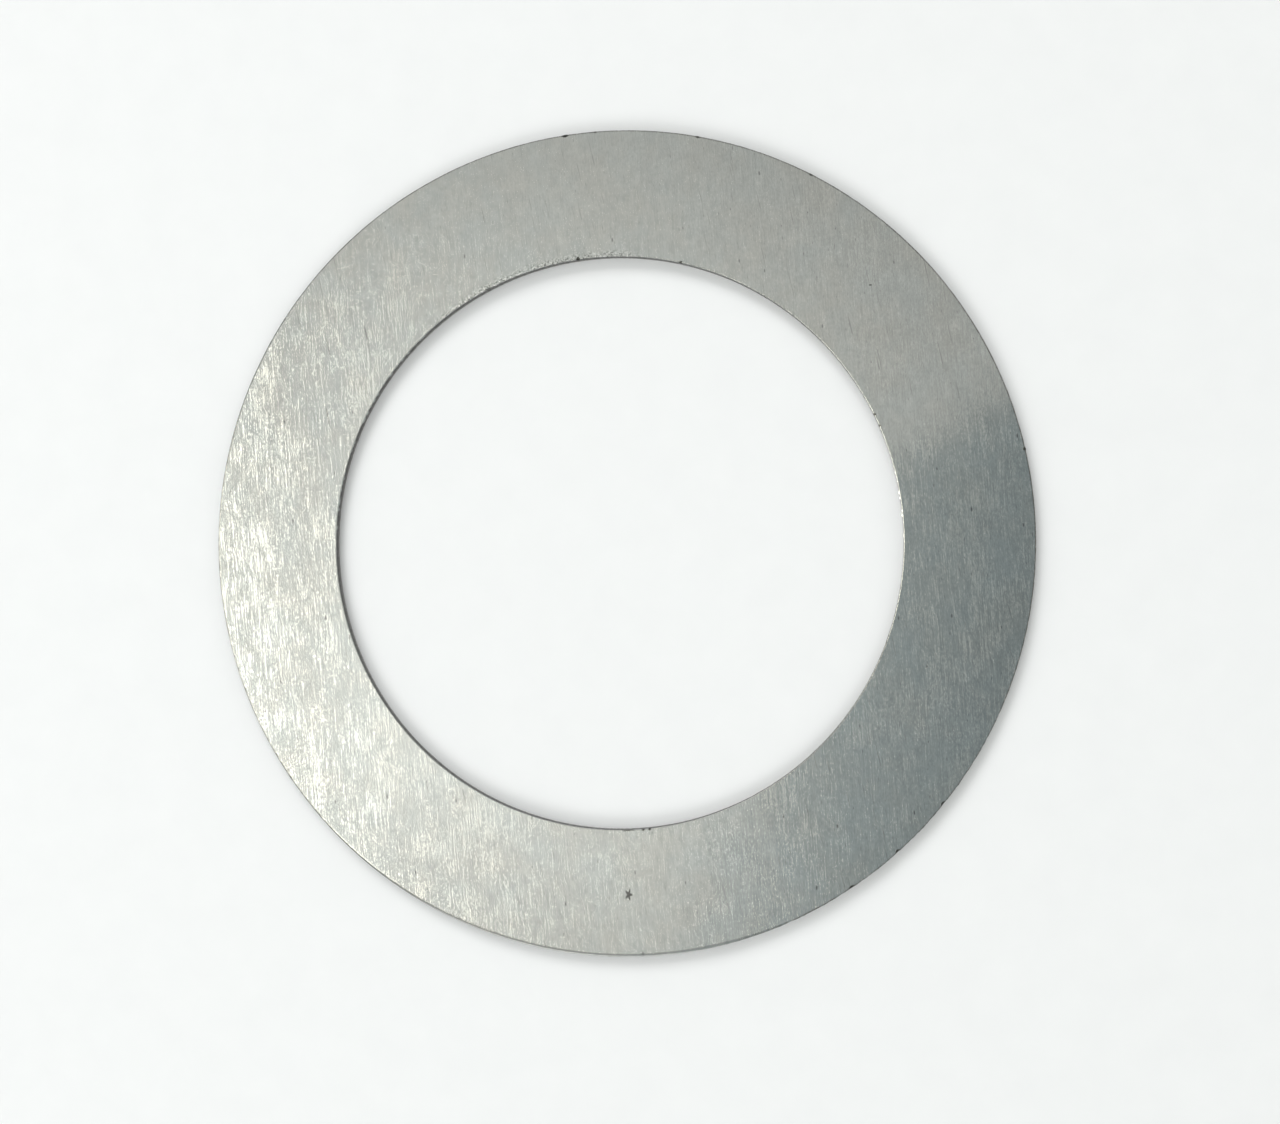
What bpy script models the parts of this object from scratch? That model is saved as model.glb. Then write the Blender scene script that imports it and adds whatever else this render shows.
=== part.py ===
"""Flat washer of the shim-ring type, 25 x 36 x 0.5 mm: one ring blanked from steel strip.

Metres, +Z up. The origin is on the bore's axis, on the plane of the bottom face.
Run with: blender --background --python part.py
"""

import math

import bmesh
import bpy

MM = 0.001

OUTSIDE_DIAMETER = 36 * MM
BORE_DIAMETER = 25 * MM
THICKNESS = 0.5 * MM

# The press tool leaves the same edge on the rim and in the bore. From the top face down it is a rolled
# corner, a straight sheared land, a torn zone that steps back a little, and a corner broken by tumbling.
ROLL_WIDTH = 0.05 * MM
ROLL_DEPTH = 0.03 * MM
SHEARED_LAND = 0.22 * MM
TORN_STEP_BACK = 0.012 * MM
CORNER_BREAK = 0.02 * MM

SEGMENTS_ROUND = 180
ROLL_STEPS = 3
SHARP_ANGLE = math.radians(30)

STEEL_COLOUR = (0.60, 0.61, 0.59, 1.0)
STEEL_ROUGHNESS = 0.35
STEEL_METALLIC = 1.0


def clear_scene():
    for obj in list(bpy.data.objects):
        bpy.data.objects.remove(obj, do_unlink=True)


def cut_edge(wall_radius, outward):
    """(radius, height) points down one cut edge; outward is 1 on the rim and -1 in the bore."""
    points = []
    for step in range(ROLL_STEPS + 1):
        angle = math.radians(90) * step / ROLL_STEPS
        inset = ROLL_WIDTH * (1 - math.sin(angle))
        drop = ROLL_DEPTH * (1 - math.cos(angle))
        points.append((wall_radius - outward * inset, THICKNESS - drop))
    torn_radius = wall_radius - outward * TORN_STEP_BACK
    points.append((wall_radius, THICKNESS - ROLL_DEPTH - SHEARED_LAND))
    points.append((torn_radius, CORNER_BREAK))
    points.append((torn_radius - outward * CORNER_BREAK, 0.0))
    return points


def ring_section():
    """The ring's cross-section as a closed loop: down the rim, then up the bore."""
    rim = cut_edge(OUTSIDE_DIAMETER / 2, 1)
    bore = cut_edge(BORE_DIAMETER / 2, -1)
    return rim + bore[::-1]


def turned_mesh(name, section):
    """A closed mesh made by turning the section all the way round the Z axis."""
    bm = bmesh.new()
    verts = [bm.verts.new((radius, 0.0, height)) for radius, height in section]
    edges = [bm.edges.new((a, b)) for a, b in zip(verts, verts[1:] + verts[:1])]
    bmesh.ops.spin(
        bm,
        geom=verts + edges,
        cent=(0.0, 0.0, 0.0),
        axis=(0.0, 0.0, 1.0),
        angle=2 * math.pi,
        steps=SEGMENTS_ROUND,
        use_merge=True,
    )
    bmesh.ops.recalc_face_normals(bm, faces=bm.faces)
    mesh = bpy.data.meshes.new(name)
    bm.to_mesh(mesh)
    bm.free()
    mesh.shade_smooth()
    mesh.set_sharp_from_angle(angle=SHARP_ANGLE)
    return mesh


def ground_steel():
    material = bpy.data.materials.new("ground_steel")
    material.use_nodes = True
    shader = material.node_tree.nodes["Principled BSDF"]
    shader.inputs["Base Color"].default_value = STEEL_COLOUR
    shader.inputs["Metallic"].default_value = STEEL_METALLIC
    shader.inputs["Roughness"].default_value = STEEL_ROUGHNESS
    return material


def flat_washer():
    mesh = turned_mesh("flat_washer", ring_section())
    mesh.materials.append(ground_steel())
    washer = bpy.data.objects.new("flat_washer", mesh)
    bpy.context.scene.collection.objects.link(washer)
    return washer


clear_scene()
flat_washer()
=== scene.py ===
import functools
import math
from collections import namedtuple

import bpy
from mathutils import Matrix, Vector, noise


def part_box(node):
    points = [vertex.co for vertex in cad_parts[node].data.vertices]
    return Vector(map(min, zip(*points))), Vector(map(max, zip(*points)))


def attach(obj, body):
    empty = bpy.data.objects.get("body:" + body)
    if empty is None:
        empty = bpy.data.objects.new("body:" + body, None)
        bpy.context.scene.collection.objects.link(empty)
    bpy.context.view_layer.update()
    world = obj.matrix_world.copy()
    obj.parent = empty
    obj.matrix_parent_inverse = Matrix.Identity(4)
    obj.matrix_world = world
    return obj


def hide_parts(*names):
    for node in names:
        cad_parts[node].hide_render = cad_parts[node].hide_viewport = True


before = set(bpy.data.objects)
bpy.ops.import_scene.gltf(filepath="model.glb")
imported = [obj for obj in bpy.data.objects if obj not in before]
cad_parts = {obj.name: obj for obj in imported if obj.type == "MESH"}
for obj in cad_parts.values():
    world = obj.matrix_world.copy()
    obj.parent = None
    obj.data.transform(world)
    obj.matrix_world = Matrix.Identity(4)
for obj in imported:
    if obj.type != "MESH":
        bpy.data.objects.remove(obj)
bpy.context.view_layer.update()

# The scene is in metres, and MM turns millimetres into them. Places round the ring are angles in
# degrees, counted from +X towards +Y.
MM = 0.001
TURN = 2 * math.pi

NODE = "flat_washer"
BODY = "root"


def bore_radius_of(node):
    """The smallest distance of the CAD ring's corners from the Z axis."""
    return min(math.hypot(v.co.x, v.co.y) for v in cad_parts[node].data.vertices)


washer_low, washer_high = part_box(NODE)
RIM_RADIUS = (washer_high.x - washer_low.x) / 2
BORE_RADIUS = bore_radius_of(NODE)
THICKNESS = washer_high.z - washer_low.z
TOP = washer_high.z
BOTTOM = washer_low.z

# The grain of the brushed faces leans this far from +Y towards -X. A few stray scratches lean further.
GRAIN_LEAN = math.radians(4.5)
STRAY_LEAN = math.radians(13.0)

# ---------------------------------------------------------------- zones and waves round the ring

# A zone is full from its start to its end, in degrees, and fades out over some degrees beyond them.
Zone = namedtuple("Zone", "start end fade")

# A wave has this many bumps in a turn. Its seed tells it from the others.
Wave = namedtuple("Wave", "bumps seed size")


def wave_height(angle, wave):
    """The height of a wave, from about -size to size; it joins up after a turn."""
    reach = wave.bumps / TURN
    place = Vector((math.cos(angle) * reach, math.sin(angle) * reach, wave.seed))
    return wave.size * noise.noise(place)


def angle_between(angle, degrees):
    """The signed difference in radians from a place given in degrees, in -pi to pi."""
    return (angle - math.radians(degrees) + math.pi) % TURN - math.pi


def zone_weight(angle, zone):
    """1 inside a zone, and 0 beyond its fade."""
    half = math.radians((zone.end - zone.start) / 2)
    outside = abs(angle_between(angle, (zone.start + zone.end) / 2)) - half
    return max(0.0, min(1.0, 1 - outside / math.radians(zone.fade)))


def blend(start, end, share):
    return start + (end - start) * share


# ---------------------------------------------------------------- the cut edges

# A blanked edge from the top face down: a rolled corner, a straight sheared land, a torn zone that
# steps back, and a broken corner.
ROLL_WIDTH = 0.045 * MM
ROLL_DEPTH = 0.03 * MM
TORN_ZONE_START = 0.45  # share of the wall's height, counted down
TORN_STEP_BACK = 0.012 * MM
TORN_ROUGHNESS = 0.010 * MM
CORNER_BREAK = 0.02 * MM

# The wear of the steel at one place, which also carries painted light: painted shade on the tarnished
# and black places, and a painted glint on the fresh ones.
FRESH_AND_GLINT = -1.0  # freshly torn, and made brighter by a painted glint
CLEAN = 0.0
TARNISHED_AND_SHADED = 1.0
BLACK = 2.0  # black, a painted shade

# One place on a cut edge: the rolled corner's width, how far its burr stands up, how far the corner
# is pushed away from the Z axis, and its wear with the painted light that goes with it.
Edge = namedtuple("Edge", "width burr push wear")

# The rim's rolled corner is wider at the bottom and the left. It is jagged at the lower right.
RIM_WIDE = Zone(-125, -75, 15)
RIM_LEFT = Zone(170, 220, 25)
RIM_JAGGED = Zone(-65, -28, 10)
WIDE_EXTRA = 1.5  # extra width, as a share of the usual width
LEFT_EXTRA = 0.6
WIDE_PUSH = 0.03 * MM
RIM_SWELL = Wave(60, 3.1, 0.25)  # slow changes of the corner's width, as a share of it
RIM_RIPPLE = Wave(420, 7.7, 0.3)  # quick ones, in the jagged zone
RIM_JAGS = Wave(520, 1.3, 0.016 * MM)
RIM_FINE_JAGS = Wave(1100, 5.9, 0.0096 * MM)
CALM_JAGS = 0.4  # how big the jags are outside the jagged zone, against those inside it
RIM_GLINTS = Wave(800, 6.2, 2.5)
# The rim's corner is darkened by tarnish and partly by painted shade; a wave varies how dark it is.
RIM_STAINS_AND_SHADE = Wave(600, 2.9, 0.3)
RIM_TARNISH_AND_SHADE = 0.85
WIDE_LIGHTENED = 0.75  # share of the tarnish and painted shade taken off where the corner is wide

# The bore's rolled corner is narrower towards the left. Its tarnish and painted shade are lighter
# towards the left and along its bottom stretch.
BORE_RIGHT = Zone(-80, 80, 30)
BORE_BOTTOM = Zone(-105, -60, 15)
LEFT_NARROWER = 0.55  # share of the usual width
BORE_SWELL = Wave(50, 2.2, 0.25)
BORE_JAGS = Wave(700, 8.1, 0.006 * MM)  # twice as high at the left
BORE_TARNISH_AND_SHADE = 0.5
LEFT_LIGHTENED = 0.1
BOTTOM_LIGHTENED = 0.6

# Burrs of bright torn metal on the bore's corner, made brighter by a painted glint. They stand where
# their wave is above the gap.
Burrs = namedtuple("Burrs", "wave gap zone")
TEETH = Burrs(Wave(900, 9.4, 6.0), 1.0, Zone(4, 14, 4))
CRUMBS = Burrs(Wave(300, 4.8, 5.0), 0.4, Zone(89, 128, 6))
BEADS = Burrs(Wave(560, 12.3, 6.0), 1.0, Zone(136, 176, 8))
TOOTH_WIDTH = 0.035 * MM
CRUMB_WIDTH = 0.10 * MM
BEAD_WIDTH = 0.04 * MM
CRUMB_RISE = 0.012 * MM  # above the face
BURR_REACH = 0.045 * MM  # into the bore

# Nicks are small places on a cut edge, darkened with painted shade. Their lift is how far they stand
# out from it; below 0 they are pushed in.
Nick = namedtuple("Nick", "degrees width lift")
BLACK_NICK = 0.015 * MM  # a nick is painted black with shade where it stands out or is pushed in this far
NICK_SPREAD = 2.5  # how far a nick reaches onto the face, against its lift
NICK_SINK = 0.6  # how far it sinks below the face, against its lift

RIM_NICKS = (
    Nick(96.8, 0.42 * MM, 0.022 * MM),
    Nick(92.5, 0.16 * MM, 0.012 * MM),
    Nick(78.1, 0.30 * MM, 0.014 * MM),
    Nick(61.5, 0.25 * MM, 0.014 * MM),
    Nick(12.7, 0.20 * MM, 0.024 * MM),
    Nick(-38.0, 0.35 * MM, -0.025 * MM),
    Nick(-47.0, 0.30 * MM, -0.030 * MM),
    Nick(-55.0, 0.40 * MM, -0.025 * MM),
)
BORE_NICKS = (
    Nick(97.1, 0.22 * MM, 0.030 * MM),
    Nick(76.3, 0.24 * MM, 0.016 * MM),
    Nick(25.9, 0.16 * MM, 0.018 * MM),
    Nick(23.5, 0.14 * MM, 0.012 * MM),
    Nick(-82.6, 0.16 * MM, 0.016 * MM),
    Nick(-83.9, 0.20 * MM, 0.012 * MM),
    Nick(-87.0, 0.90 * MM, 0.007 * MM),
)


def nick_lift(angle, radius, nicks):
    """How far a nick makes this place on an edge stand out."""
    for nick in nicks:
        along = angle_between(angle, nick.degrees) * radius / (nick.width / 2)
        if abs(along) < 1:
            return nick.lift * (1 - along * along) ** 2
    return 0.0


def burr_share(angle, burrs):
    """1 on a burr, and 0 between the burrs and outside their zone."""
    height = wave_height(angle, burrs.wave) - burrs.gap
    return min(1.0, max(0.0, height)) * zone_weight(angle, burrs.zone)


def rim_edge(angle):
    """The rim's top corner: jagged at the lower right, rolled wider at the left and the bottom, and
    darkened by tarnish and painted shade.
    """
    jagged = zone_weight(angle, RIM_JAGGED)
    wide = zone_weight(angle, RIM_WIDE)
    left = zone_weight(angle, RIM_LEFT)
    width = 1 + WIDE_EXTRA * wide + LEFT_EXTRA * left + wave_height(angle, RIM_SWELL)
    width *= ROLL_WIDTH * (1 + jagged * wave_height(angle, RIM_RIPPLE))
    jags = wave_height(angle, RIM_JAGS) + wave_height(angle, RIM_FINE_JAGS)
    push = blend(CALM_JAGS, 1.0, jagged) * jags + WIDE_PUSH * wide
    # tarnish and painted shade, lighter where the corner is wide and at the glints
    wear = (1 - WIDE_LIGHTENED * wide) * (RIM_TARNISH_AND_SHADE + wave_height(angle, RIM_STAINS_AND_SHADE))
    bright = jagged * max(0.0, wave_height(angle, RIM_GLINTS))
    return Edge(width, 0.0, push, max(CLEAN, wear - bright))


def bore_edge(angle):
    """The bore's top corner: burrs at the right and left and crumbs at the upper left, with a painted
    glint, and elsewhere tarnish with painted shade.
    """
    tooth = burr_share(angle, TEETH)
    crumb = burr_share(angle, CRUMBS)
    bead = burr_share(angle, BEADS)
    left = 1 - zone_weight(angle, BORE_RIGHT)
    width = ROLL_WIDTH * (1 - LEFT_NARROWER * left + wave_height(angle, BORE_SWELL))
    width += TOOTH_WIDTH * tooth + CRUMB_WIDTH * crumb + BEAD_WIDTH * bead
    push = (1 + left) * wave_height(angle, BORE_JAGS) - BURR_REACH * max(tooth, bead)
    # tarnish and painted shade, lighter at the left and along the bottom stretch
    lightened = BOTTOM_LIGHTENED * zone_weight(angle, BORE_BOTTOM)
    wear = (1 - lightened) * (BORE_TARNISH_AND_SHADE - LEFT_LIGHTENED * left)
    # a painted glint on the burrs, crumbs and beads
    wear = blend(wear, FRESH_AND_GLINT, max(tooth, crumb, bead))
    return Edge(width, CRUMB_RISE * crumb, push, wear)


# ---------------------------------------------------------------- the ring's mesh

STEPS_ROUND = 2000
TOP_RINGS = 9
BOTTOM_RINGS = 3
ROLL_RINGS = 6
WALL_RINGS = 7
FACE_MARGIN = 0.008 * MM  # between a face's borders and its first and last ring
SHEET_WAVE = 0.010 * MM
SHEET_WAVE_LENGTH = 6 * MM
SHARP_ANGLE = math.radians(60)
BOTTOM_CORNER_WEAR = 0.5
FACE_MATERIAL = 0
WALL_MATERIAL = 1

# One wave for each of the wall's rings, counted down: the torn metal gets finer towards the bottom.
TORN_WAVES = [Wave(500 + 40 * ring, 11 + ring, TORN_ROUGHNESS) for ring in range(1, WALL_RINGS + 1)]

# One corner of the ring's section. The wall is true from the foot of the rolled corner downwards.
Point = namedtuple("Point", "radius height wear wall")


def edge_points(angle, radius, outward, edge, nicks):
    """Points down one cut edge, top to bottom; outward is 1 on the rim and -1 in the bore."""
    nick = nick_lift(angle, radius, nicks)
    # painted shade: a nick darkens the edge up to black
    wear = max(edge.wear, min(BLACK, BLACK * abs(nick) / BLACK_NICK))
    width = edge.width + NICK_SPREAD * abs(nick)
    points = []
    for ring in range(ROLL_RINGS):
        turn = math.radians(90) * ring / (ROLL_RINGS - 1)
        near_corner = math.sin(turn)
        inset = width * (1 - near_corner)
        drop = ROLL_DEPTH * (1 - math.cos(turn))
        out = outward * (nick * near_corner - inset) + edge.push * near_corner
        lift = edge.burr * math.sin(2 * turn) - NICK_SINK * abs(nick) * near_corner
        points.append(Point(radius + out, TOP - drop + lift, wear, ring == ROLL_RINGS - 1))
    for ring, wave in enumerate(TORN_WAVES, start=1):
        down = ring / WALL_RINGS
        height = TOP - ROLL_DEPTH - (THICKNESS - ROLL_DEPTH - CORNER_BREAK) * down
        torn = max(0.0, (down - TORN_ZONE_START) / (1 - TORN_ZONE_START))
        smooth = max(0.0, 1 - down / TORN_ZONE_START)
        out = outward * (nick * smooth - TORN_STEP_BACK * torn) + edge.push * smooth
        out += torn * wave_height(angle, wave)
        points.append(Point(radius + out, height, TARNISHED_AND_SHADED, True))
    foot = radius - outward * (TORN_STEP_BACK + CORNER_BREAK)
    points.append(Point(foot, BOTTOM, BOTTOM_CORNER_WEAR, True))
    return points


def face_points(height, inner, outer, rings):
    """Points across a flat face, from the bore to the rim, without its two borders."""
    start, end = inner + FACE_MARGIN, outer - FACE_MARGIN
    radii = [start + (end - start) * ring / (rings - 1) for ring in range(rings)]
    return [Point(radius, height, CLEAN, False) for radius in radii]


def section_at(angle):
    """The closed section at this angle: top face outwards, down the rim, bottom face, up the bore."""
    rim = edge_points(angle, RIM_RADIUS, 1, rim_edge(angle), RIM_NICKS)
    bore = edge_points(angle, BORE_RADIUS, -1, bore_edge(angle), BORE_NICKS)
    top = face_points(TOP, bore[0].radius, rim[0].radius, TOP_RINGS)
    bottom = face_points(BOTTOM, bore[-1].radius, rim[-1].radius, BOTTOM_RINGS)
    return top + rim + bottom[::-1] + bore[::-1]


def sheet_height(x, y):
    """The slight unevenness of the rolled sheet, which bends what its face reflects."""
    return SHEET_WAVE * noise.noise(Vector((x, y, 0.0)) / SHEET_WAVE_LENGTH)


def placed(point, angle):
    """A point of the section turned to its angle; the top face follows the sheet's unevenness."""
    x, y = point.radius * math.cos(angle), point.radius * math.sin(angle)
    on_top = point.height > THICKNESS / 2 and not point.wall
    return (x, y, point.height + (sheet_height(x, y) if on_top else 0.0))


def ring_faces(rows):
    """Four-sided faces between each section and the next, row by row."""
    faces = []
    for step in range(STEPS_ROUND):
        here, there = step * rows, (step + 1) % STEPS_ROUND * rows
        for row in range(rows):
            after = (row + 1) % rows
            faces.append((here + row, here + after, there + after, there + row))
    return faces


def ring_mesh(name):
    """The washer as one closed mesh, with its wear and painted light as an attribute, and a UV map
    along the grain.
    """
    angles = [TURN * step / STEPS_ROUND for step in range(STEPS_ROUND)]
    sections = [section_at(angle) for angle in angles]
    first = sections[0]
    rows = len(first)
    verts = [placed(point, angle) for angle, section in zip(angles, sections) for point in section]
    wear = [point.wear for section in sections for point in section]
    walls = [point.wall and after.wall for point, after in zip(first, first[1:] + first[:1])]
    mesh = bpy.data.meshes.new(name)
    mesh.from_pydata(verts, [], ring_faces(rows))
    for polygon in mesh.polygons:
        polygon.material_index = WALL_MATERIAL if walls[polygon.index % rows] else FACE_MATERIAL
    mesh.shade_smooth()
    mesh.set_sharp_from_angle(angle=SHARP_ANGLE)
    mesh.attributes.new("wear", "FLOAT", "POINT").data.foreach_set("value", wear)
    add_grain_uv(mesh)
    return mesh


def add_grain_uv(mesh):
    """A map seen from above: U across the grain and V along it."""
    across = Vector((math.cos(GRAIN_LEAN), math.sin(GRAIN_LEAN), 0))
    along = Vector((-math.sin(GRAIN_LEAN), math.cos(GRAIN_LEAN), 0))
    layer = mesh.uv_layers.new(name="grain")
    size = 2 * RIM_RADIUS
    for loop in mesh.loops:
        place = mesh.vertices[loop.vertex_index].co
        layer.data[loop.index].uv = (place.dot(across) / size + 0.5, place.dot(along) / size + 0.5)


# ---------------------------------------------------------------- node trees

# A layer of noise: the width and length of its features in millimetres, how many finer sizes are added
# to them and how strong those are, and a seed that tells it from the others.
Layer = namedtuple("Layer", "width length detail rough seed")

SPECK_WIDTH = 0.35  # width of a speck across the grain, against its length
BARE_CELLS = 0.4  # share of the cells that hold no speck
SMALLEST_SPECK = 0.0001
SOFT_FROM = 0.6  # share of a speck's or a mark's radius at which it begins to fade
STAR_WAIST = 0.42  # a mark's radius between its arms, as a share of its radius at their tips
ENDS_FROM = 0.7  # share of a stretch's half width at which its ends begin to fade


class Nodes:
    """A short way to write a node tree."""

    def __init__(self, material):
        material.use_nodes = True
        self.tree = material.node_tree
        self.shader = self.tree.nodes.get("Principled BSDF")

    def add(self, kind, values=(), **settings):
        node = self.tree.nodes.new(kind)
        for key, value in settings.items():
            setattr(node, key, value)
        for key, value in dict(values).items():
            self.feed(node.inputs[key], value)
        return node

    def feed(self, socket, value):
        if isinstance(value, bpy.types.NodeSocket):
            self.tree.links.new(value, socket)
        else:
            socket.default_value = value

    def math(self, operation, a, b=0.0):
        return self.add("ShaderNodeMath", {0: a, 1: b}, operation=operation).outputs[0]

    def plus(self, a, b):
        return self.math("ADD", a, b)

    def minus(self, a, b):
        return self.math("SUBTRACT", a, b)

    def times(self, a, b):
        return self.math("MULTIPLY", a, b)

    def larger(self, a, b):
        return self.math("MAXIMUM", a, b)

    def total(self, values):
        """The sum of two or more values."""
        return functools.reduce(self.plus, values)

    def distance(self, x, y):
        """How far (x, y) is from (0, 0)."""
        return self.math("SQRT", self.plus(self.times(x, x), self.times(y, y)))

    def vector(self, operation, a, b=(0, 0, 0)):
        return self.add("ShaderNodeVectorMath", {0: a, 1: b}, operation=operation).outputs[0]

    def scaled(self, vector, scale):
        values = {0: vector, "Scale": scale}
        return self.add("ShaderNodeVectorMath", values, operation="SCALE").outputs[0]

    def parts(self, vector):
        """The X, Y and Z of a vector."""
        outputs = self.add("ShaderNodeSeparateXYZ", {0: vector}).outputs
        return outputs["X"], outputs["Y"], outputs["Z"]

    def ramp(self, value, low, high, to_low=0.0, to_high=1.0, kind="LINEAR"):
        """value rescaled from low..high to to_low..to_high, and held there outside."""
        values = {"Value": value, "From Min": low, "From Max": high}
        values.update({"To Min": to_low, "To Max": to_high})
        return self.add("ShaderNodeMapRange", values, interpolation_type=kind).outputs["Result"]

    def mix(self, share, a, b, way="MIX"):
        """Two colours mixed by a share of the second, in one of the node's blend types."""
        values = {0: share, 6: a, 7: b}
        return self.add("ShaderNodeMix", values, data_type="RGBA", blend_type=way).outputs[2]

    def centred(self, value, scale):
        """value, about 0 to 1, moved to be about 0 and scaled."""
        return self.times(self.minus(value, 0.5), scale)

    def object_place(self):
        return self.add("ShaderNodeTexCoord").outputs["Object"]

    def millimetres(self):
        """Object coordinates in millimetres."""
        return self.scaled(self.object_place(), 1 / MM)

    def grain_space(self, lean):
        """Object coordinates in millimetres, turned so that Y is along scratches with this lean."""
        values = {"Vector": self.millimetres(), "Axis": (0, 0, 1), "Angle": -lean}
        return self.add("ShaderNodeVectorRotate", values, rotation_type="AXIS_ANGLE").outputs[0]

    def streaks(self, place, layer):
        """A layer's noise, about 0 to 1, with its length along Y."""
        scale = (1 / layer.width, 1 / layer.length, 1 / layer.width)
        values = {"Vector": place, "Location": (layer.seed, layer.seed, 0), "Scale": scale}
        shaped = self.add("ShaderNodeMapping", values).outputs[0]
        values = {"Vector": shaped, "Scale": 1.0, "Detail": layer.detail, "Roughness": layer.rough}
        return self.add("ShaderNodeTexNoise", values).outputs["Fac"]

    def specks(self, place, spacing, radius):
        """1 inside scattered specks up to this radius, stretched along the grain."""
        scale = (1 / spacing, SPECK_WIDTH / spacing, 0)
        shaped = self.add("ShaderNodeMapping", {"Vector": place, "Scale": scale}).outputs[0]
        values = {"Vector": shaped, "Scale": 1.0}
        cells = self.add("ShaderNodeTexVoronoi", values, voronoi_dimensions="2D").outputs
        chance = self.add("ShaderNodeSeparateColor", {"Color": cells["Color"]}).outputs["Red"]
        reach = self.ramp(chance, BARE_CELLS, 1.0, SMALLEST_SPECK, radius / spacing)
        return self.ramp(self.math("DIVIDE", cells["Distance"], reach), SOFT_FROM, 1.0, 1.0, 0.0)

    def mark(self, centre, radius, arms, length):
        """1 inside a small star-like mark at this place in millimetres; length is Y against X."""
        offset = self.vector("SUBTRACT", self.millimetres(), centre)
        offset = self.vector("DIVIDE", offset, (1, length, 1))
        values = {0: offset}
        distance = self.add("ShaderNodeVectorMath", values, operation="LENGTH").outputs["Value"]
        x, y, _ = self.parts(offset)
        around = self.times(self.math("ARCTAN2", y, x), arms)
        reach = self.ramp(self.math("COSINE", around), -1, 1, STAR_WAIST, 1.0)
        return self.ramp(self.math("DIVIDE", distance, reach), SOFT_FROM * radius, radius, 1.0, 0.0)

    def beside_bore(self, degrees, half_degrees, full, gone):
        """1 beside one stretch of the bore's edge, fading to 0 away from it."""
        x, y, _ = self.parts(self.millimetres())
        bore = BORE_RADIUS / MM
        beside = self.ramp(self.distance(x, y), bore + full, bore + gone, 1.0, 0.0)
        around = self.minus(self.math("ARCTAN2", y, x), math.radians(degrees))
        clear = math.cos(math.radians(half_degrees))
        whole = math.cos(math.radians(ENDS_FROM * half_degrees))
        return self.times(beside, self.ramp(self.math("COSINE", around), clear, whole))

    def leaning_normal(self, slope):
        """The surface's normal, leaning across the grain by this slope."""
        normal = self.add("ShaderNodeNewGeometry").outputs["Normal"]
        across = (math.cos(GRAIN_LEAN), math.sin(GRAIN_LEAN), 0)
        return self.vector("NORMALIZE", self.vector("ADD", normal, self.scaled(across, slope)))


# ---------------------------------------------------------------- the brushed faces

STEEL_LIGHT = (0.665, 0.665, 0.65, 1)
STEEL_DARK = (0.555, 0.56, 0.55, 1)
COOL_TINT = (0.98, 1.0, 1.0, 1)
WARM_TINT = (1.0, 0.991, 0.97, 1)
# tarnish on the edges, darkened partly by painted shade; the dark grit uses it too
TARNISH_AND_SHADE = (0.19, 0.19, 0.18, 1)
# painted shade, black, on the nicks and the darkest tarnish
BLACK_SHADE = (0.08, 0.08, 0.075, 1)
# fresh torn steel, brighter than steel as a painted glint
FRESH_STEEL_AND_GLINT = (0.92, 0.92, 0.90, 1)
PIT = (0.36, 0.355, 0.35, 1)
STAR_PIT = (0.16, 0.155, 0.15, 1)
SCRATCH = (0.44, 0.44, 0.43, 1)

# Along the grain the finish is smooth, and across it dull. Where the brush bit deepest it is duller
# still, and there it glints by whatever is bright to the side.
SMOOTH_ROUGHNESS = 0.10
BITTEN_ROUGHNESS = 0.205
WEAR_ROUGHNESS = 0.2  # added where the steel is tarnished or torn
FACE_ANISOTROPY = 0.88

DASHES = Layer(0.055, 0.15, 2, 0.70, 1)
LINES = Layer(0.055, 1.2, 3, 0.65, 7)
BANDS = Layer(0.25, 1.4, 2, 0.55, 13)
PATCHES = Layer(1.2, 2.2, 4, 0.55, 21)
MOTTLES = Layer(0.35, 0.45, 3, 0.55, 71)
TINTS = Layer(1.7, 2.2, 5, 0.55, 43)
STRAYS = Layer(0.06, 2.0, 2, 0.55, 31)
MARKS = Layer(0.07, 0.40, 2, 0.55, 57)
GRIT = Layer(0.075, 0.075, 1, 0.55, 83)

# How far the sides of the scratches lean across the grain, as a slope, and how much each layer adds to
# the bite of the brush and to the tone of the steel.
SLOPES = ((DASHES, -0.03), (LINES, -0.02), (BANDS, 0.04), (PATCHES, 0.05))
STRAY_SLOPE = 0.04
BITE_SHARES = ((DASHES, 0.34), (LINES, 0.42), (PATCHES, 0.24))
TONE_SHARES = ((DASHES, 0.35), (LINES, 0.35), (MOTTLES, 0.30))

# What a layer adds begins at the first of these heights of its noise and is full at the second.
BITE_RANGE = (0.505, 0.56)
TONE_RANGE = (0.38, 0.62)
TINT_RANGE = (0.35, 0.65)
STRAY_RANGE = (0.68, 0.74)
MARK_RANGE = (0.69, 0.75)
GRIT_GLINT_RANGE = (0.58, 0.62)
DARK_GRIT_RANGE = (0.40, 0.36)

# Grit lies beside the bore at the upper left, its bright specks painted as glints: the middle and half
# width of that stretch in degrees, and how far from the bore the grit is full and gone, in millimetres.
GRIT_PLACE = (107, 24, 0.03, 0.33)

# Sizes in millimetres. A mark has a middle, a radius, a number of arms, and a length in Y against X.
PIT_SPACING = 1.1
PIT_RADIUS = 0.045
STAR_MARK = ((0.69, -15.30, THICKNESS / MM), 0.20, 5, 1.6)
FLECK_MARK = ((11.1, 11.0, THICKNESS / MM), 0.07, 2, 1)


def weighted(n, fields, shares):
    """The sum of some layers, each with its share."""
    return n.total([n.times(fields[layer], share) for layer, share in shares])


def face_slope(n, fields, strays, tarnish_and_shade):
    """How far the surface leans across the grain; tarnish fills the scratches."""
    slope = n.total([n.centred(fields[layer], slope) for layer, slope in SLOPES])
    slope = n.minus(slope, n.times(strays, STRAY_SLOPE))
    return n.times(slope, n.minus(1.0, tarnish_and_shade))


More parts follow.
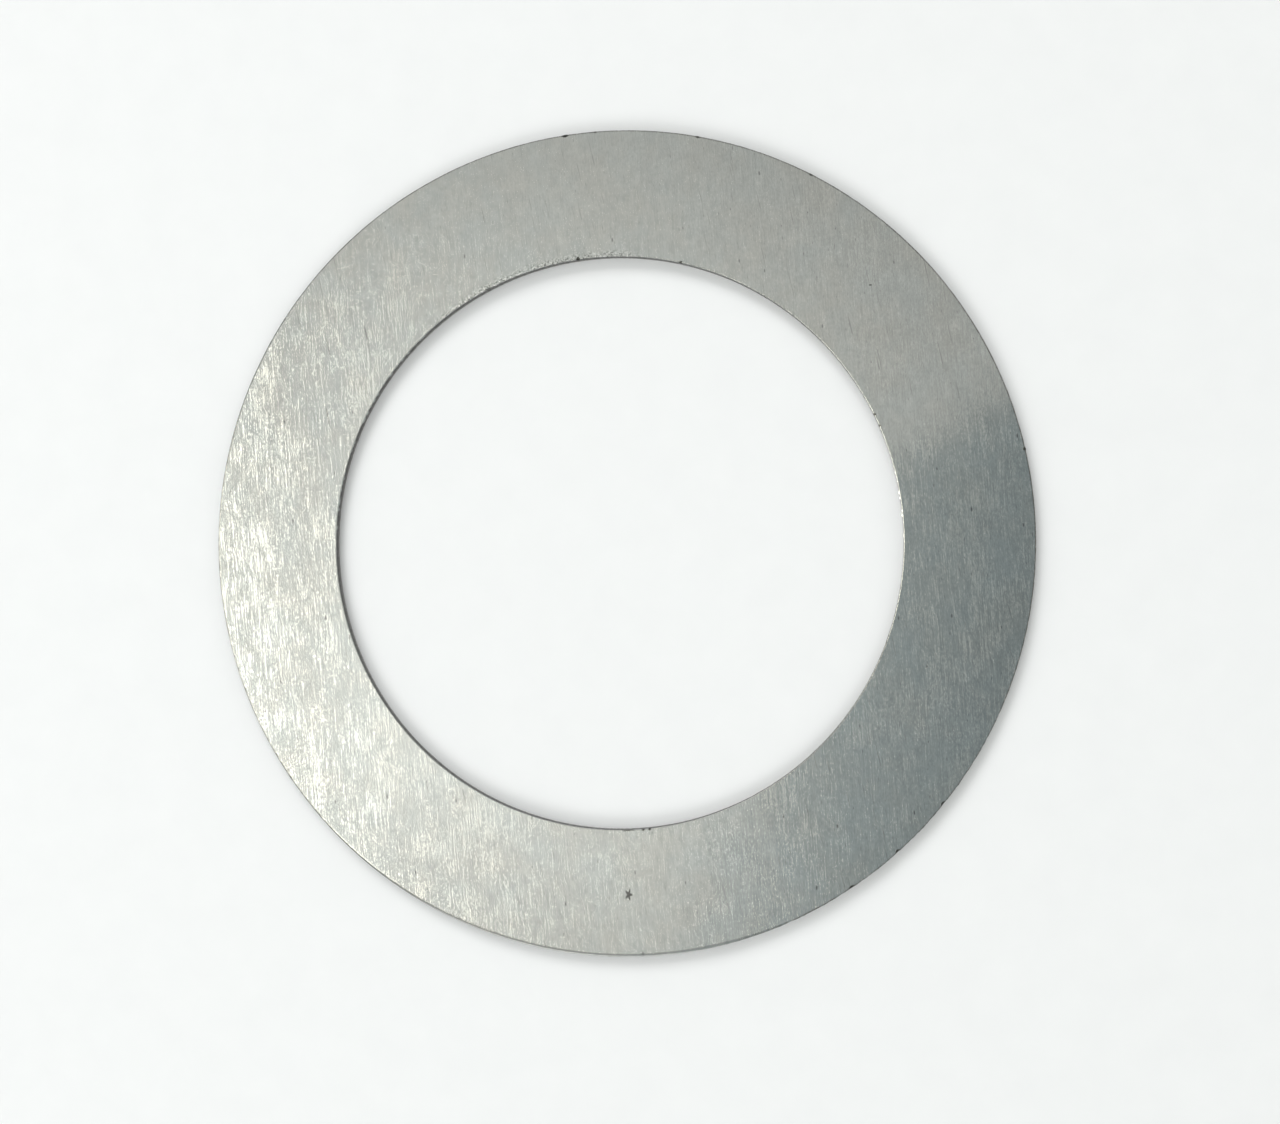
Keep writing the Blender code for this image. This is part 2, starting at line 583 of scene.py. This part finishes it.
def bare_colour(n, place, fields, strays):
    """The steel's own colour, with its scratches, pits and marks."""
    tone = weighted(n, fields, TONE_SHARES)
    colour = n.mix(n.ramp(tone, *TONE_RANGE), STEEL_DARK, STEEL_LIGHT)
    tint = n.mix(n.ramp(n.streaks(place, TINTS), *TINT_RANGE), COOL_TINT, WARM_TINT)
    colour = n.mix(1.0, colour, tint, way="MULTIPLY")
    colour = n.mix(strays, colour, SCRATCH)
    colour = n.mix(n.ramp(n.streaks(place, MARKS), *MARK_RANGE), colour, SCRATCH)
    colour = n.mix(n.specks(place, PIT_SPACING, PIT_RADIUS), colour, PIT)
    return n.mix(n.larger(n.mark(*STAR_MARK), n.mark(*FLECK_MARK)), colour, STAR_PIT)


def with_grit(n, place, colour):
    """A colour with dark grit beside the bore, and bright grit painted as glints."""
    grit = n.streaks(place, GRIT)
    near = n.beside_bore(*GRIT_PLACE)
    colour = n.mix(n.times(near, n.ramp(grit, *DARK_GRIT_RANGE)), colour, TARNISH_AND_SHADE)
    return n.mix(n.times(near, n.ramp(grit, *GRIT_GLINT_RANGE)), colour, FRESH_STEEL_AND_GLINT)


def brushed_face():
    """Ground strip: dashes and lines along one grain, stray scratches, soft patches, and a few pits."""
    material = bpy.data.materials.new("brushed_face")
    n = Nodes(material)
    place = n.grain_space(GRAIN_LEAN)
    layers = (DASHES, LINES, BANDS, PATCHES, MOTTLES)
    fields = {layer: n.streaks(place, layer) for layer in layers}
    strays = n.ramp(n.streaks(n.grain_space(STRAY_LEAN), STRAYS), *STRAY_RANGE)
    # The wear attribute carries painted light: tarnish darkened partly by painted shade, nicks painted
    # black as shade, and fresh burrs brightened by a painted glint.
    wear = n.add("ShaderNodeAttribute", attribute_name="wear").outputs["Fac"]
    tarnish_and_shade = n.ramp(wear, CLEAN, TARNISHED_AND_SHADED)
    black_shade = n.ramp(wear, TARNISHED_AND_SHADED, BLACK)
    fresh_and_glint = n.larger(n.times(wear, FRESH_AND_GLINT), 0.0)
    colour = with_grit(n, place, bare_colour(n, place, fields, strays))
    colour = n.mix(black_shade, n.mix(tarnish_and_shade, colour, TARNISH_AND_SHADE), BLACK_SHADE)
    colour = n.mix(fresh_and_glint, colour, FRESH_STEEL_AND_GLINT)
    bite = weighted(n, fields, BITE_SHARES)
    roughness = n.ramp(bite, *BITE_RANGE, SMOOTH_ROUGHNESS, BITTEN_ROUGHNESS)
    roughness = n.plus(roughness, n.times(n.math("ABSOLUTE", wear), WEAR_ROUGHNESS))
    n.feed(n.shader.inputs["Base Color"], colour)
    n.feed(n.shader.inputs["Roughness"], roughness)
    n.shader.inputs["Metallic"].default_value = 1.0
    n.shader.inputs["Anisotropic"].default_value = FACE_ANISOTROPY
    tangent = n.add("ShaderNodeTangent", direction_type="UV_MAP", uv_map="grain")
    n.feed(n.shader.inputs["Tangent"], tangent.outputs[0])
    normal = n.leaning_normal(face_slope(n, fields, strays, tarnish_and_shade))
    n.feed(n.shader.inputs["Normal"], normal)
    return material


# ---------------------------------------------------------------- the cut walls

# The land's dark colour is partly painted shade, and the torn zone's paler colour partly a painted
# reflection of the paper.
SHADED_LAND = (0.13, 0.132, 0.127, 1)
TORN_AND_PAPER_REFLECTION = (0.34, 0.33, 0.32, 1)
TORN_TOP = 0.12  # millimetres above the bottom face; below this it is all torn
LAND_BOTTOM = 0.28  # above this it is all land
BORDER_WOBBLE = 0.3  # how far up and down their border wanders, in millimetres
SCORE_SCALE = (14, 14, 1.2)
SCORE_DETAIL = 3
SCORE_RANGE = (0.3, 0.7)
SCORE_DEPTH = 0.006 * MM
WALL_ROUGHNESS = (0.35, 0.55)


def sheared_wall():
    """The cut walls, scored from top to bottom: a sheared land, dark partly with painted shade, above a
    torn zone, paler partly with a painted reflection of the paper.
    """
    material = bpy.data.materials.new("sheared_wall")
    n = Nodes(material)
    millimetres = n.millimetres()
    place = n.add("ShaderNodeMapping", {"Vector": millimetres, "Scale": SCORE_SCALE}).outputs[0]
    values = {"Vector": place, "Scale": 1.0, "Detail": SCORE_DETAIL}
    scores = n.add("ShaderNodeTexNoise", values).outputs["Fac"]
    height = n.parts(millimetres)[2]
    shaded_land = n.ramp(n.plus(height, n.centred(scores, BORDER_WOBBLE)), TORN_TOP, LAND_BOTTOM)
    n.feed(n.shader.inputs["Base Color"], n.mix(shaded_land, TORN_AND_PAPER_REFLECTION, SHADED_LAND))
    n.feed(n.shader.inputs["Roughness"], n.ramp(scores, *SCORE_RANGE, *WALL_ROUGHNESS))
    n.shader.inputs["Metallic"].default_value = 1.0
    bump = n.add("ShaderNodeBump", {"Height": scores, "Strength": 1.0, "Distance": SCORE_DEPTH})
    n.feed(n.shader.inputs["Normal"], bump.outputs[0])
    return material


# ---------------------------------------------------------------- the washer


def link(obj):
    bpy.context.scene.collection.objects.link(obj)
    return obj


def build_washer():
    mesh = ring_mesh("washer_ring")
    mesh.materials.append(brushed_face())
    mesh.materials.append(sheared_wall())
    washer = link(bpy.data.objects.new("washer_ring", mesh))
    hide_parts(NODE)
    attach(washer, BODY)


# ---------------------------------------------------------------- the paper it lies on

PAPER_LIGHT = (0.855, 0.862, 0.868, 1)
PAPER_DARK = (0.838, 0.845, 0.852, 1)
PAPER_MOTTLES = Layer(2.0, 2.0, 4, 0.55, 0)
PAPER_RANGE = (0.3, 0.7)
PAPER_ROUGHNESS = 0.9
PAPER_SPECULAR = 0.2
FLOOR_SIDE = 4.0
FLOOR_GAP = 0.01 * MM


def pale_paper():
    """Plain white paper with the faintest mottling."""
    material = bpy.data.materials.new("pale_paper")
    n = Nodes(material)
    mottling = n.ramp(n.streaks(n.millimetres(), PAPER_MOTTLES), *PAPER_RANGE)
    n.feed(n.shader.inputs["Base Color"], n.mix(mottling, PAPER_DARK, PAPER_LIGHT))
    n.shader.inputs["Roughness"].default_value = PAPER_ROUGHNESS
    n.shader.inputs["Specular IOR Level"].default_value = PAPER_SPECULAR
    return material


def flat_plate(name, centre, width, length, material):
    """A level rectangle."""
    x, y = width / 2, length / 2
    mesh = bpy.data.meshes.new(name)
    mesh.from_pydata([(-x, -y, 0), (x, -y, 0), (x, y, 0), (-x, y, 0)], [], [(0, 1, 2, 3)])
    mesh.materials.append(material)
    plate = link(bpy.data.objects.new(name, mesh))
    plate.location = centre
    return plate


def build_floor():
    flat_plate("floor", (0, 0, BOTTOM - FLOOR_GAP), FLOOR_SIDE, FLOOR_SIDE, pale_paper())


# ---------------------------------------------------------------- the camera

# The camera stands almost straight above, off to the +X side, so that it looks down at the left of the
# bore's wall. Its place and its aim are measured from the middle of the top face.
CAMERA_RIGHT = 0.553 * RIM_RADIUS
CAMERA_UP = -0.048 * RIM_RADIUS
CAMERA_HEIGHT = 3.706 * RIM_RADIUS
AIM_RIGHT = 0.0658 * RIM_RADIUS
AIM_UP = -0.0455 * RIM_RADIUS
LENS = 43.51
SENSOR = 36.0
CLIP_START = 0.001
CLIP_END = 100


def build_camera():
    camera = link(bpy.data.objects.new("camera", bpy.data.cameras.new("camera")))
    camera.data.lens = LENS
    camera.data.sensor_width = SENSOR
    camera.data.clip_start = CLIP_START
    camera.data.clip_end = CLIP_END
    place = Vector((CAMERA_RIGHT, CAMERA_UP, TOP + CAMERA_HEIGHT))
    aim = Vector((AIM_RIGHT, AIM_UP, TOP))
    back = (place - aim).normalized()
    right = Vector((0, 1, 0)).cross(back).normalized()
    up = back.cross(right)
    turn = Matrix((right, up, back)).transposed()
    camera.matrix_world = Matrix.Translation(place) @ turn.to_4x4()
    bpy.context.scene.camera = camera


# ---------------------------------------------------------------- what the steel mirrors

# A dark card just above the camera, like the body that holds its lens: the washer's right side mirrors
# it. It fades out towards the left, and at the back along a slanting line; its right is darker than its
# left.
CARD_CENTRE = (35 * MM, -50 * MM, TOP + CAMERA_HEIGHT + 1 * MM)
CARD_WIDTH = 90 * MM
CARD_LENGTH = 150 * MM
CARD_SIDE = (-7 * MM, 11 * MM)  # clear at the first of these X, full at the second
CARD_BACK = (3.5 * MM, -1.5 * MM)  # the same along Y, where the slanting line crosses X = 0
CARD_SLANT = 0.50
CARD_SHADE = (12 * MM, 28 * MM)  # light at the first of these X, dark at the second, where Y is 0
CARD_SHADE_SLANT = 0.2
CARD_LIGHT = (0.388, 0.438, 0.442, 1)
CARD_DARK = (0.228, 0.264, 0.272, 1)

# A broad soft panel overhead at the left, which fades into the surroundings at its rim.
WORLD_COLOUR = (0.49, 0.505, 0.485, 1)
PANEL_COLOUR = (1.235, 1.255, 1.195, 1)
PANEL_CENTRE = (-0.105, -0.045, 0.35)
PANEL_REACH = (0.14, 0.165, 0.13, 0.21)  # from its middle to the left, right, front and back
FADE_POWER = 0.8  # below 1 the glow falls off faster near its middle


def glow(name):
    """An emission material; returns it with its nodes, its emission and its output."""
    material = bpy.data.materials.new(name)
    n = Nodes(material)
    n.tree.nodes.clear()
    emission = n.add("ShaderNodeEmission")
    output = n.add("ShaderNodeOutputMaterial")
    n.tree.links.new(emission.outputs[0], output.inputs["Surface"])
    return material, n, emission, output


def fading_card():
    """A glow that gets darker to the right, and turns clear towards the left and the back."""
    material, n, emission, output = glow("card_grey")
    x, y, _ = n.parts(n.vector("ADD", n.object_place(), CARD_CENTRE))
    shade = n.ramp(n.minus(x, n.times(y, CARD_SHADE_SLANT)), *CARD_SHADE)
    n.feed(emission.inputs["Color"], n.mix(shade, CARD_LIGHT, CARD_DARK))
    side = n.ramp(x, *CARD_SIDE, kind="SMOOTHSTEP")
    clear_at, full_at = CARD_BACK
    straightened = n.minus(y, n.times(x, CARD_SLANT))
    back = n.ramp(straightened, full_at, clear_at, 1.0, 0.0, kind="SMOOTHSTEP")
    clear = n.add("ShaderNodeBsdfTransparent")
    both = n.add("ShaderNodeMixShader", {0: n.times(side, back)})
    n.tree.links.new(clear.outputs[0], both.inputs[1])
    n.tree.links.new(emission.outputs[0], both.inputs[2])
    n.tree.links.new(both.outputs[0], output.inputs["Surface"])
    return material


def build_card():
    card = flat_plate("dark_card", CARD_CENTRE, CARD_WIDTH, CARD_LENGTH, fading_card())
    card.visible_camera = False
    card.visible_diffuse = False
    card.visible_shadow = False
    card.visible_transmission = False


def fading_glow(name, rim_colour, middle_colour, left, right, front, back):
    """A glow that fades from its middle to an egg-shaped rim, which is this far away on each side."""
    material, n, emission, _ = glow(name)
    x, y, _ = n.parts(n.object_place())
    across = n.larger(n.times(x, 1 / right), n.times(x, -1 / left))
    along = n.larger(n.times(y, 1 / back), n.times(y, -1 / front))
    share = n.math("POWER", n.ramp(n.distance(along, across), 0.0, 1.0), FADE_POWER)
    n.feed(emission.inputs["Color"], n.mix(share, middle_colour, rim_colour))
    return material


def build_panel():
    glowing = fading_glow("panel_glow", WORLD_COLOUR, PANEL_COLOUR, *PANEL_REACH)
    width, length = 2 * max(PANEL_REACH[:2]), 2 * max(PANEL_REACH[2:])
    panel = flat_plate("soft_panel", PANEL_CENTRE, width, length, glowing)
    panel.visible_camera = False


# ---------------------------------------------------------------- lights

WHITE = (1.0, 1.0, 1.0)
WARM_WHITE = (1.0, 0.985, 0.87)

WINDOW_PLACE = (-0.236, -0.035, 0.30)
WINDOW_SIZE = (0.12, 0.22)
WINDOW_RADIANCE = 9.0
WINDOW_TURN = math.radians(16)

# White lights aimed at the washer. The steel mirrors only some of them: a softbox and its fill share
# one place, so that the paper gets more light than the steel shows.
Softbox = namedtuple("Softbox", "name place size radiance mirrored")
FRONT = (-0.10, -0.60, 0.50)
BACK = (-0.20, 0.60, 0.50)
WIDE_BOX = (0.50, 0.35)
SOFTBOXES = (
    Softbox("left_softbox", (-0.15, -0.02, 0.15), (0.136, 0.136), 1.3, False),
    Softbox("right_softbox", (0.50, 0.0, 0.45), (0.40, 0.40), 0.4, False),
    Softbox("front_softbox", FRONT, WIDE_BOX, 1.0, True),
    Softbox("back_softbox", BACK, WIDE_BOX, 1.0, True),
    Softbox("front_fill", FRONT, WIDE_BOX, 2.05, False),
    Softbox("back_fill", BACK, WIDE_BOX, 4.8, False),
)


def area_light(name, place, size, radiance, colour):
    """A soft light that faces down; its power is radiance times area times pi."""
    data = bpy.data.lights.new(name, "AREA")
    data.shape = "RECTANGLE"
    data.size, data.size_y = size
    data.energy = radiance * size[0] * size[1] * math.pi
    data.color = colour
    light = link(bpy.data.objects.new(name, data))
    light.location = place
    light.visible_camera = False
    return light


def build_window():
    """A level light at the left that the steel mirrors and that doesn't light the paper."""
    light = area_light("left_window", WINDOW_PLACE, WINDOW_SIZE, WINDOW_RADIANCE, WARM_WHITE)
    light.rotation_euler.z = WINDOW_TURN
    light.visible_diffuse = False


def build_softbox(box):
    light = area_light(box.name, box.place, box.size, box.radiance, WHITE)
    light.rotation_euler = (-Vector(box.place)).to_track_quat("-Z", "Y").to_euler()
    light.visible_glossy = box.mirrored


def build_world():
    world = bpy.data.worlds.new("studio")
    world.use_nodes = True
    world.node_tree.nodes["Background"].inputs["Color"].default_value = WORLD_COLOUR
    bpy.context.scene.world = world


build_camera()
build_floor()
build_card()
build_world()
build_panel()
build_window()
for box in SOFTBOXES:
    build_softbox(box)
build_washer()
bpy.context.scene.view_settings.view_transform = "Standard"
